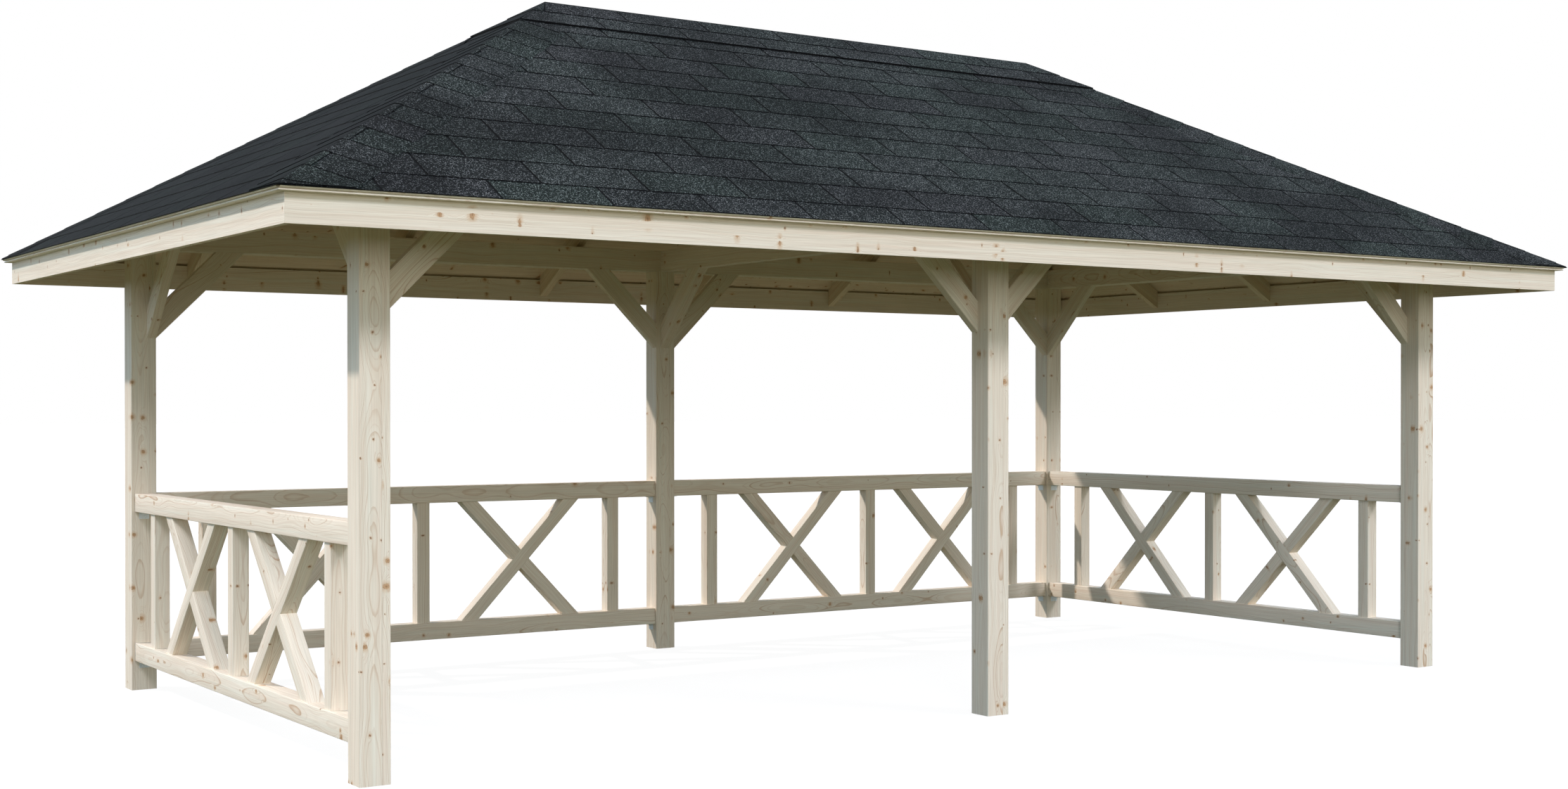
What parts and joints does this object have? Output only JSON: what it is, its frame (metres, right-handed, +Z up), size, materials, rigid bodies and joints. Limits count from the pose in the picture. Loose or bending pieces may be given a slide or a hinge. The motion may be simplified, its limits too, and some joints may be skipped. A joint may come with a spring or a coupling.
{
  "type": "garden gazebo",
  "caption": "Open rectangular timber gazebo with square posts, knee braces, cross railings on three sides and a hipped shingle roof.",
  "frame": {"origin": "ground level under the middle of the roof", "axes": "+X along the long side to the right, +Y from the open front to the back, +Z up"},
  "size_m": [6.92, 4.1764, 3.315],
  "materials": {
    "timber": "planed spruce, oiled, with knots",
    "roof_timber": "planed spruce, bare",
    "moulding": "moulded spruce, bare",
    "shingle": "mineral granules on felt, matte",
    "zinc": "galvanised"
  },
  "bodies": {
    "root": {"post_front_left": "timber", "post_front_middle": "timber", "post_front_right": "timber", "post_back_left": "timber", "post_back_middle": "timber", "post_back_right": "timber", "plate_front": "timber", "plate_back": "timber", "plate_left": "timber", "plate_right": "timber", "tie_beam": "timber", "braces_front": "timber", "braces_back": "timber", "braces_left": "timber", "braces_right": "timber", "braces_tie": "timber", "railing_back_left": "timber", "railing_back_right": "timber", "railing_left": "timber", "railing_right": "timber", "ridge_beam": "roof_timber", "rafters_front": "roof_timber", "rafters_back": "roof_timber", "rafters_right": "roof_timber", "rafters_left": "roof_timber", "hip_rafters": "roof_timber", "fascia_front": "timber", "fascia_back": "timber", "fascia_right": "timber", "fascia_left": "timber", "moulding_front": "moulding", "moulding_back": "moulding", "moulding_right": "moulding", "moulding_left": "moulding", "roof_boards_front": "roof_timber", "roof_boards_back": "roof_timber", "roof_boards_right": "roof_timber", "roof_boards_left": "roof_timber", "shingles_front": "shingle", "shingles_back": "shingle", "shingles_right": "shingle", "shingles_left": "shingle", "hip_caps": "shingle", "ridge_cap": "shingle", "rail_brackets": "zinc"}
  },
  "joints": []
}
